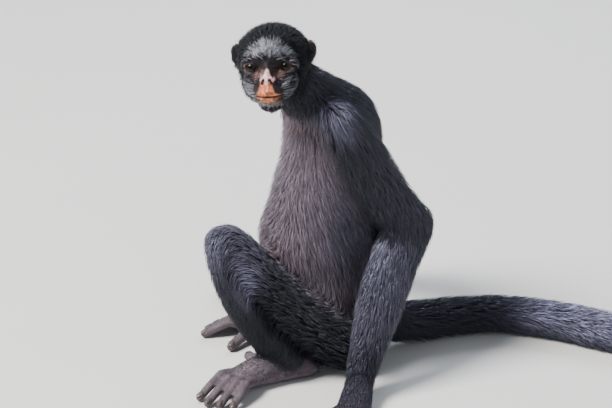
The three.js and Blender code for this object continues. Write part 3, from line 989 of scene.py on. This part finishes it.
# For each piece: the parts it grows on, and 1 for their front half, -1 for the back, 0 for all.
COAT_PIECES = {
    "coat_abdomen_front": ("abdomen", 1),
    "coat_abdomen_back": ("abdomen", -1),
    "coat_chest": ("chest neck", 0),
    "coat_head": ("head ear", 0),
    "coat_arm_left": ("upper_arm_left forearm_left", 0),
    "coat_arm_right": ("upper_arm_right forearm_right", 0),
    "coat_thigh_left": ("thigh_left", 0),
    "coat_thigh_right": ("thigh_right", 0),
    "coat_shins": ("shin", 0),
    "coat_tail": ("tail", 0),
    "coat_hands_and_feet": ("hand finger foot toe", 0),
}
TRUNK_MIDDLE = (4, -16, 150)


def grow_coat():
    face, part = grown_roots(crowd)
    mine = owner[skin.faces[face, 0]]
    ahead = (at(skin.points, face, part) - TRUNK_MIDDLE) @ CHEST_AHEAD
    pieces = []
    for name, (parts, half) in COAT_PIECES.items():
        chosen = belongs(mine, *parts.split()) & ((half == 0) | ((ahead > 0) == (half > 0)))
        f, p = face[chosen], part[chosen]
        long = at(length, f, p)
        bare = at(thin, f, p)
        # Grey in the hair of the thin coat, with the painted sheen on top, both as pale tips.
        grey_hair_and_sheen = (bare * 0.13 + at(pale_hair_and_sheen, f, p)) * (1 - at(throat, f, p))
        # Hair along the back of the arms stands off in a ragged fringe.
        fringe = np.zeros(len(f))
        if name.startswith("coat_arm"):
            fringe = rise(at(skin_normals, f, p) @ -THROAT_AHEAD, 0.2, 0.8) * 0.45
        look = {
            "reach": long,
            "height": at(cover, f, p) * (1.35 + 0.5 * fringe),
            "wide": at(width, f, p),
            "spread": np.maximum(long * 0.13, 1.5),
            "lock": 0.32,
            "mess": long * (0.055 + 0.05 * fringe),
            "sag": long * 0.05,
            "pale": grey_hair_and_sheen * chance.uniform(0.5, 1.4, len(f)),
            "brown": at(belly, f, p) * 0.85 + bare * 0.15,
        }
        pieces.append(tufts(name, f, p, lie, look))
    return pieces


def grow_patch(name, share, number, ways, long, wide, high, pale, mess, stations=SHORT):
    """Hair of one kind on the face: a number of tufts that point along the given ways."""
    face, part = grown_roots(share, number)
    size = chance.uniform(0.55, 1.1, number)
    light = chance.random(number) < at(pale + np.zeros(len(owner)), face, part)
    look = {
        "reach": long * size,
        "height": high * size,
        "wide": wide,
        "spread": np.full(number, 2.2),
        "lock": 0.35,
        "mess": mess * long * size,
        "sag": 0,
        "pale": light * chance.uniform(0.55, 1.1, number),
        "brown": np.zeros(number),
    }
    return tufts(name, face, part, over_skin(ways @ HEAD_AXES.T), look, stations)


def rows_of(across, back, up):
    """One row for each place: its numbers across, back and up in the head's frame."""
    return np.stack(np.broadcast_arrays(across, back, up), axis=1).astype(float)


def grow_face():
    side = np.sign(ACROSS)
    brow_way = unit(rows_of(ACROSS, 0, UP - 1))
    brow_way += rows_of(0, 0.3, -0.6 * rise(OUT, 20, 32))
    from_brow, from_lips = np.arctan2(ACROSS, UP + 8), np.arctan2(UP + 26, OUT - 6)
    streak = ripple(rows_of(from_brow * 20, np.hypot(ACROSS, UP + 8) * 0.12, 0), 2.0, 5)
    # The hair is darker along the lower edge of the brow, where it thins out.
    streak = mix(0.25, 0.95, rise(streak, -0.5, 0.5)) * mix(0.3, 1, rise(UP, 8, 13.5))
    wisp = ripple(rows_of(from_lips * 18, OUT * 0.12, side * 40), 1.8, 6)
    # Fewer pale whiskers on the animal's left, the side away from the light: painted shade.
    wisp = mix(0.08, 0.82, rise(wisp, -0.3, 0.5)) * mix(1, 0.72, ACROSS > 0)
    whisker_way = rows_of(side, 0.55, 0.18 + 0.03 * (UP + 24))
    chin_way, beard_way = rows_of(0.05 * ACROSS, 0.15, -1), rows_of(0.02 * ACROSS, 0.25, -1)
    cheek_way, temple_way = rows_of(side, 0.5, -0.35), rows_of(0 * UP, 0.1, -1)
    # Each has its region, number, way, length, width, height, share of pale hair and mess.
    return [
        grow_patch("coat_brow", brow_patch, 4700, brow_way, 15, 0.3, 5.5, streak, 0.16),
        grow_patch("coat_whiskers", whisker_patch, 1900, whisker_way, 19, 0.27, 4.5, wisp, 0.1),
        grow_patch("coat_chin", chin_patch, 500, chin_way, 7, 0.2, 2.0, 0.4, 0.15),
        grow_patch("coat_cheeks", cheek_patch, 1100, cheek_way, 4, 0.17, 1.0, 0.16, 0.1),
        grow_patch("coat_beard", beard_patch, 900, beard_way, 13, 0.4, 4.0, 0.08, 0.12),
        grow_patch("coat_temples", ear_cover, 900, temple_way, 25, 0.45, 10, 0, 0.05, LONG),
    ]


# ---- finishes


class Wire:
    """A value that varies over a surface; sums on it add the nodes that work them out."""

    def __init__(self, paint, socket):
        self.paint, self.socket = paint, socket

    def sum(self, operation, a, b):
        return self.paint.put("Math", {"operation": operation}, {0: a, 1: b})

    def __add__(self, other):
        return self.sum("ADD", self, other)

    def __mul__(self, other):
        return self.sum("MULTIPLY", self, other)

    __radd__, __rmul__ = __add__, __mul__


class Paint:
    """A finish: a Principled shader and the nodes that feed it."""

    def __init__(self, name, **constants):
        self.material = bpy.data.materials.new(name)
        self.material.use_nodes = True
        self.tree = self.material.node_tree
        self.shader = self.tree.nodes["Principled BSDF"]
        for socket, value in constants.items():
            self.shader.inputs[socket.replace("_", " ")].default_value = value
        self.place = self.put("TexCoord", {}, {}, "Object")

    def put(self, kind, settings, sockets, output=0):
        """Adds a node: its settings first, then the values or links of its sockets."""
        node = self.tree.nodes.new("ShaderNode" + kind)
        for key, value in settings.items():
            setattr(node, key, value)
        for key, value in sockets.items():
            self.join(node.inputs[key], value)
        return Wire(self, node.outputs[output])

    def join(self, socket, value):
        if isinstance(value, Wire):
            self.tree.links.new(value.socket, socket)
        else:
            socket.default_value = value

    def value(self, name):
        return self.put("Attribute", {"attribute_name": name}, {}, "Fac")

    def noise(self, per_metre):
        sockets = {"Vector": self.place, "Scale": per_metre, "Detail": 3.0}
        return self.put("TexNoise", {}, sockets, "Fac")

    def cells(self, per_metre):
        sockets = {"Vector": self.place, "Scale": per_metre}
        return self.put("TexVoronoi", {"feature": "DISTANCE_TO_EDGE"}, sockets, "Distance")

    def blend(self, share, first, second):
        """Goes from the first colour to the second as the share goes from 0 to 1."""
        first, second = (c if isinstance(c, Wire) else (*c, 1) for c in (first, second))
        return self.put("Mix", {"data_type": "RGBA"}, {0: share, 6: first, 7: second}, 2)

    def spread(self, value, low, high):
        """0 where the value is low, 1 where it is high, and a soft slope between them."""
        sockets = {"Value": value, "From Min": low, "From Max": high}
        return self.put("MapRange", {"interpolation_type": "SMOOTHSTEP"}, sockets)

    def set(self, **sockets):
        for socket, value in sockets.items():
            self.join(self.shader.inputs[socket.replace("_", " ")], value)

    def bump(self, height, depth):
        normal = self.put("Bump", {}, {"Height": height, "Distance": depth, "Strength": 1.0}, "Normal")
        self.join(self.shader.inputs["Normal"], normal)


# The colour of the painted sheen on the body's black hair, and of the face's pale hair.
SHEEN_COLOUR, FACE_SILVER = (0.58, 0.57, 0.83), (0.76, 0.76, 0.86)


def coat_finish(name, gloss, pale_hair_and_sheen):
    paint = Paint(name, Specular_IOR_Level=gloss, Specular_Tint=(0.74, 0.80, 1.0, 1))
    strand, along_it = paint.value("strand"), paint.value("along")
    black = paint.blend(strand, (0.003, 0.003, 0.004), (0.013, 0.013, 0.016))
    # Tips are painted lighter the glossier the fur, and the roots stay darker: painted sheen and painted
    # shade.
    black = paint.blend(along_it * along_it * (0.6 * gloss), black, (0.028, 0.028, 0.036))
    brown = paint.blend(strand, (0.075, 0.053, 0.064), (0.29, 0.21, 0.24))
    # Pale tips: the face's real pale hair, and on the body the painted sheen.
    pale = paint.blend(strand, tuple(0.26 * c for c in pale_hair_and_sheen), pale_hair_and_sheen)
    colour = paint.blend(paint.value("brown"), black, brown)
    colour = paint.blend(paint.value("pale"), colour, pale)
    paint.set(Base_Color=colour, Roughness=strand * 0.18 + 0.3)
    return paint.material


def skin_finish():
    paint = Paint("soft dark skin", Specular_IOR_Level=0.17)
    mottle = paint.spread(paint.noise(260.0), 0.3, 0.7)
    coarse = paint.noise(60.0)
    base = paint.blend(mottle, (0.007, 0.006, 0.007), (0.016, 0.014, 0.015))
    face = paint.blend(mottle, (0.007, 0.005, 0.007), (0.024, 0.017, 0.021))
    colour = paint.blend(paint.value("face"), base, face)
    # Each marking's colour in the dark and the light of its grain, from the lowest layer up.
    layers = {
        "belly": ((0.13, 0.085, 0.078), (0.26, 0.17, 0.155)),
        "throat": ((0.34, 0.17, 0.16), (0.52, 0.31, 0.30)),
        "ear": ((0.045, 0.026, 0.018), (0.14, 0.085, 0.06)),
        "lid": ((0.07, 0.038, 0.032), (0.21, 0.122, 0.1)),
        "rim": ((0.006, 0.004, 0.004), (0.014, 0.009, 0.008)),
        "chin": ((0.10, 0.07, 0.06), (0.24, 0.18, 0.155)),
        "lip": ((0.20, 0.05, 0.024), (0.66, 0.27, 0.135)),
        "blush": ((0.50, 0.09, 0.035), (0.74, 0.18, 0.08)),
        "nose": ((0.40, 0.20, 0.21), (0.80, 0.53, 0.54)),
        "septum": ((0.55, 0.30, 0.24), (0.84, 0.60, 0.53)),
        # Painted shade: the nostrils and the line between the lips are painted dark red.
        "inside": ((0.012, 0.003, 0.003), (0.03, 0.007, 0.006)),
        "foot": ((0.045, 0.036, 0.046), (0.17, 0.135, 0.155)),
    }
    for name, (dark, light) in layers.items():
        grain = coarse if name in ("belly", "foot") else mottle
        colour = paint.blend(paint.value(name), colour, paint.blend(grain, dark, light))
    paint.set(Base_Color=colour, Roughness=mottle * 0.2 + 0.45)
    creases = paint.spread(paint.cells(2200.0), 0.0, 0.2)
    paint.bump(creases * 0.35 + paint.noise(1500.0), 0.00012)
    return paint.material


def eye_finish():
    paint = Paint("wet dark eye", Coat_Weight=0.05, Coat_Roughness=0.04, Specular_IOR_Level=0.22)
    ring = paint.value("ring")
    iris = paint.blend(paint.noise(900.0), (0.004, 0.002, 0.0015), (0.018, 0.007, 0.003))
    colour = paint.blend(paint.spread(ring, 0.085, 0.105), (0.001, 0.001, 0.001), iris)
    colour = paint.blend(paint.spread(ring, 0.20, 0.235), colour, (0.006, 0.004, 0.004))
    colour = paint.blend(paint.spread(ring, 0.26, 0.36), colour, (0.02, 0.012, 0.009))
    paint.set(Base_Color=colour, Roughness=ring * 0.3 + 0.12)
    return paint.material


def nail_finish():
    paint = Paint("dark horn", Specular_IOR_Level=0.5)
    streak = paint.noise(400.0)
    colour = paint.blend(streak, (0.035, 0.028, 0.026), (0.11, 0.09, 0.08))
    paint.set(Base_Color=colour, Roughness=streak * 0.15 + 0.28)
    paint.bump(streak, 0.0002)
    return paint.material


def floor_finish():
    paint = Paint("pale floor", Specular_IOR_Level=0.2)
    colour = paint.blend(paint.noise(3.0), (0.66, 0.655, 0.645), (0.70, 0.695, 0.685))
    paint.set(Base_Color=colour, Roughness=0.8)
    return paint.material


# ---- markings on the skin


def near_line(local, line, near, beyond):
    """1 near a line in the head's frame and 0 far from it."""
    gap = np.full(len(local), np.inf)
    for start, end in zip(line, line[1:]):
        gap = np.minimum(gap, stretch(start, end, 0, 0)(local))
    return fall(gap, near, beyond)


# Half the width of three marks on the face, each at rising heights.
NOSE_WIDTH = [
    (-17.5, -3), (-15.5, 6), (-13, 8), (-10.5, 6.8), (-7, 4), (-4, 2.6), (-1, 1.2), (1.5, -2),
]
LIP_WIDTH = [
    (-38.5, -3), (-36.5, 7), (-34, 11), (-30.5, 16), (-27, 12.5), (-22, 8.5), (-16, 7), (-12, 6),
    (-10, -4),
]
CHIN_WIDTH = [(-50, 8), (-37, 13), (-33, -4)]


def mark(local, table, soft):
    heights, halves = zip(*table)
    return fall(np.abs(local[:, 0]) - np.interp(local[:, 2], heights, halves), -soft, soft)


def face_marks():
    """How much of each of the face's colours there is at each corner of the skin."""
    local, flat = skin_local, skin_local * (1, 0, 1)
    uneven = ripple(skin.points, 7, 4)[:, None] * (0.5, 0, 0.7)
    ahead = rise(-BACK, 26, 33)
    nose = mark(local + uneven, NOSE_WIDTH, 1.7) * ahead
    # On the animal's left, the side away from the light, the upper lip's colour reaches less far across:
    # painted shade.
    aside = np.maximum(local[:, :1], 0) * (0.55 * rise(local[:, 2:], -30, -25)) * (1, 0, 0)
    lip = mark(local + 0.9 * uneven + aside, LIP_WIDTH, 3) * ahead
    lip = lip * (1 - 0.55 * rise(OUT, 7, 15)) * mix(1, 0.8, rise(-UP, 31, 34))
    # Painted shade along the line where the lips meet.
    mouth_line_shade = fall(past_lips(local), 0.5, 1.3) * fall(OUT, 14, 17) * ahead
    nostrils = [near_line(flat, line, 1.6, 2.5) * ahead for line in NOSTRILS]
    blush = both(lambda s: near_line(flat, [(3.2 * s, 0, -17), (5.5 * s, 0, -26)], 0.3, 3.4) * ahead)
    septum = near_line(flat, [(0, 0, -13), (0.4, 0, -25)], 0.2, 2.0)
    septum = septum * mix(0.2, 1, rise(UP, -26, -17)) * ahead
    chin = mark(local + uneven, CHIN_WIDTH, 3) * ahead
    lid, rim = np.zeros((2, len(local)))
    for side in SIDES:
        d = local - EYE_AT[side]
        r, high, out = round_eye(d, side)
        close = (d[:, 1] < 0) * (r < 20)
        beyond = rise(d[:, 0] * side, 4, 8.5) * rise(-high, -2.0, -1.2)
        below = np.maximum(rise(-high, -0.5, 0.5), 0.85 * beyond)
        lid = np.maximum(lid, fall(out, 1.5, 2.4) * below * close)
        rim = np.maximum(rim, fall(out, 1.15, 1.4) * close)
    marks = {
        "face": bare_face, "nose": nose, "lip": lip, "lid": lid, "rim": rim, "chin": chin,
        "inside": np.maximum.reduce([mouth_line_shade, *nostrils]), "septum": septum,
        # The blush is weaker on the animal's left, the side away from the light: painted shade.
        "blush": np.maximum(0.35 * blush[0], blush[1]),
    }
    return {name: value * near_head for name, value in marks.items()}


def finish_skin():
    paws = skin.eased(belongs(owner, *PAWS).astype(float), 3)
    ears = skin.eased((on_ear & ~hidden_ear).astype(float), 2)
    mesh = mesh_of("skin", skin.points, skin.faces)
    put_values(mesh, **face_marks(), belly=thin * 0.8, throat=throat, foot=paws, ear=ears)
    mesh.materials.append(skin_finish())
    piece = object_of("skin", mesh)
    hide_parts(*FLESH)
    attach(piece, "root")


# ---- eyes and nails


CORNEA, CORNEA_BULGE = math.radians(34), 0.075
# How far each eyeball is turned outwards, as its socket is.
GAZE = math.radians(4)


def make_eye(side, word, finish):
    """An eyeball with its cornea standing out in front."""
    angles = []

    def turn(bm, angle, axis):
        bmesh.ops.rotate(bm, verts=bm.verts, cent=(0, 0, 0), matrix=Matrix.Rotation(angle, 3, axis))

    def shape(bm):
        bmesh.ops.create_uvsphere(bm, u_segments=48, v_segments=36, radius=EYE_HALF)
        turn(bm, math.radians(90), "X")
        for v in bm.verts:
            angle = v.co.angle(Vector((0, -1, 0)))
            angles.append(angle / math.pi)
            if angle < CORNEA:
                v.co *= 1 + CORNEA_BULGE * (1 - (angle / CORNEA) ** 2)
        turn(bm, GAZE * side, "Z")
        for v in bm.verts:
            v.co = Vector(from_head(np.array(v.co) + EYE_AT[side]) * MM)
        for f in bm.faces:
            f.smooth = True

    mesh = reworked(bpy.data.meshes.new("eye_" + word + "_ball"), shape)
    put_values(mesh, ring=angles)
    mesh.materials.append(finish)
    piece = object_of("eyeball_" + word, mesh)
    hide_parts("eye_" + word)
    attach(piece, "root")


# How far behind the tip of a digit the middle of its nail is, and how far the nail lies on the
# digit to either side of that.
NAIL_BACK, NAIL_ON_TOE, NAIL_THICK = 4.6, 3.4, 0.45
NAIL_HALF, BIG_NAIL_HALF = 3.0, 3.5


def nail_on(node):
    """A curved plate on the tip of one finger or toe."""
    start, end = (np.array(p) for p in PATHS[node])
    ahead = unit(end - start)
    aside = np.cross((0, 0, 1), ahead)
    mine = skin.points[belongs(owner, node)]
    tip = ((mine - start) @ ahead).max()
    at_tip = mine[(mine - start) @ ahead > tip - 3]
    middle = start + aside * ((at_tip - start) @ aside).mean()
    half = BIG_NAIL_HALF if node.startswith("toe") and node.endswith("_1") else NAIL_HALF

    def shape(bm):
        bmesh.ops.create_grid(bm, x_segments=8, y_segments=8, size=1)
        for v in bm.verts:
            across, reach = v.co.x, v.co.y
            across *= 1 - 0.14 * max(reach, 0) ** 3
            on_toe = min(tip - NAIL_BACK + NAIL_ON_TOE * reach, tip - 1.6)
            past = max((NAIL_BACK - NAIL_ON_TOE) * reach, 0)
            spot = middle + ahead * on_toe + aside * across * half
            hit = skin_tree.ray_cast(Vector((spot[0], spot[1], 80)), Vector((0, 0, -1)))[0]
            crown = 0.35 * (1 - across * across)
            height = (hit.z if hit else 3.0) + NAIL_THICK + crown - 0.5 * past
            place = spot + ahead * past
            v.co = Vector((place[0], place[1], height)) * MM
        bmesh.ops.recalc_face_normals(bm, faces=bm.faces)
        bmesh.ops.solidify(bm, geom=bm.faces[:], thickness=NAIL_THICK * MM)
        for f in bm.faces:
            f.smooth = True

    return reworked(bpy.data.meshes.new("nail"), shape)


def make_nails(kind, side, finish):
    """The nails of one hand's fingers or one foot's toes."""

    def gather(bm):
        for node in sorted(n for n in FLESH if n.startswith(kind + "_" + side)):
            bm.from_mesh(nail_on(node))

    mesh = reworked(bpy.data.meshes.new(f"nails_{kind}_{side}"), gather)
    mesh.materials.append(finish)
    piece = object_of(f"nails_{kind}_{side}", mesh)
    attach(piece, "root")


# ---- floor, light and camera


def set_stage():
    mesh = bpy.data.meshes.new("floor")
    reworked(mesh, lambda bm: bmesh.ops.create_grid(bm, x_segments=1, y_segments=1, size=6))
    mesh.materials.append(floor_finish())
    floor = object_of("floor", mesh)
    world = bpy.data.worlds.new("soft room")
    world.use_nodes = True
    back = world.node_tree.nodes["Background"]
    back.inputs["Color"].default_value = (0.86, 0.92, 1.0, 1)
    back.inputs["Strength"].default_value = 0.34
    bpy.context.scene.world = world


def add_lamp(name, spot, size, power, colour):
    lamp = bpy.data.lights.new(name, "AREA")
    lamp.size, lamp.energy, lamp.color = size, power, colour
    thing = object_of(name, lamp)
    thing.location = spot
    aim = Vector((0.02, -0.02, 0.2)) - thing.location
    thing.rotation_euler = aim.to_track_quat("-Z", "Y").to_euler()


VIEW_TURN, VIEW_LIFT = math.radians(80), math.radians(24)
VIEW_RIGHT = Vector((math.cos(VIEW_TURN), math.sin(VIEW_TURN), 0))
VIEW_LEVEL = Vector((math.sin(VIEW_TURN), -math.cos(VIEW_TURN), 0))
VIEW_BACK = VIEW_LEVEL * math.cos(VIEW_LIFT) + Vector((0, 0, math.sin(VIEW_LIFT)))
# The stage is in metres. The focal length and the frame's width are in the same unit.
CAMERA_AWAY = 3.0
SENSOR, FRAME_WIDE, FOCAL = 36, 612, 2500
WARM, COOL = (1, 0.97, 0.93), (0.85, 0.92, 1)


def set_camera():
    up = VIEW_BACK.cross(VIEW_RIGHT)
    aim = VIEW_RIGHT * -0.0432 + up * 0.18
    data = bpy.data.cameras.new("camera")
    data.sensor_width = SENSOR
    data.lens = FOCAL * SENSOR / FRAME_WIDE
    camera = object_of("camera", data)
    camera.location = aim + VIEW_BACK * CAMERA_AWAY
    camera.rotation_euler = VIEW_BACK.to_track_quat("Z", "Y").to_euler()
    bpy.context.scene.camera = camera


def add_lamps():
    """A soft key from the left of the camera, a weak fill from its right and a rim light behind."""

    def spot(right, back, up):
        return VIEW_RIGHT * right + VIEW_LEVEL * back + Vector((0, 0, up))

    add_lamp("key", spot(-2.4, 1.3, 3.4), 1.5, 470, WARM)
    add_lamp("fill", spot(1.6, 1.6, 1.2), 1.8, 12, COOL)
    add_lamp("rim", spot(0.6, -1.8, 1.8), 1.2, 40, COOL)


# ---- the whole model

set_stage()
set_camera()
add_lamps()
finish_skin()
eye_paint = eye_finish()
make_eye(1, "left", eye_paint)
make_eye(-1, "right", eye_paint)
nail_paint = nail_finish()
for kind in ("toe", "finger"):
    for side in ("left", "right"):
        make_nails(kind, side, nail_paint)
glossy_fur = coat_finish("glossy black fur", 0.85, SHEEN_COLOUR)
dull_and_shaded_fur = coat_finish("dull black fur", 0.22, SHEEN_COLOUR)
face_fur = coat_finish("pale face hair", 0.6, FACE_SILVER)
# The dull finish is the head's own dull hair; on the left thigh it stands for the thigh lying in shade, as
# painted shade.
fur_of = dict.fromkeys(("head", "temples", "beard", "thigh_left", "cheeks"), dull_and_shaded_fur)
fur_of.update(dict.fromkeys(("brow", "whiskers", "chin"), face_fur))
for piece in grow_coat() + grow_face():
    piece.data.materials.append(fur_of.get(piece.name.removeprefix("coat_"), glossy_fur))
    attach(piece, "root")
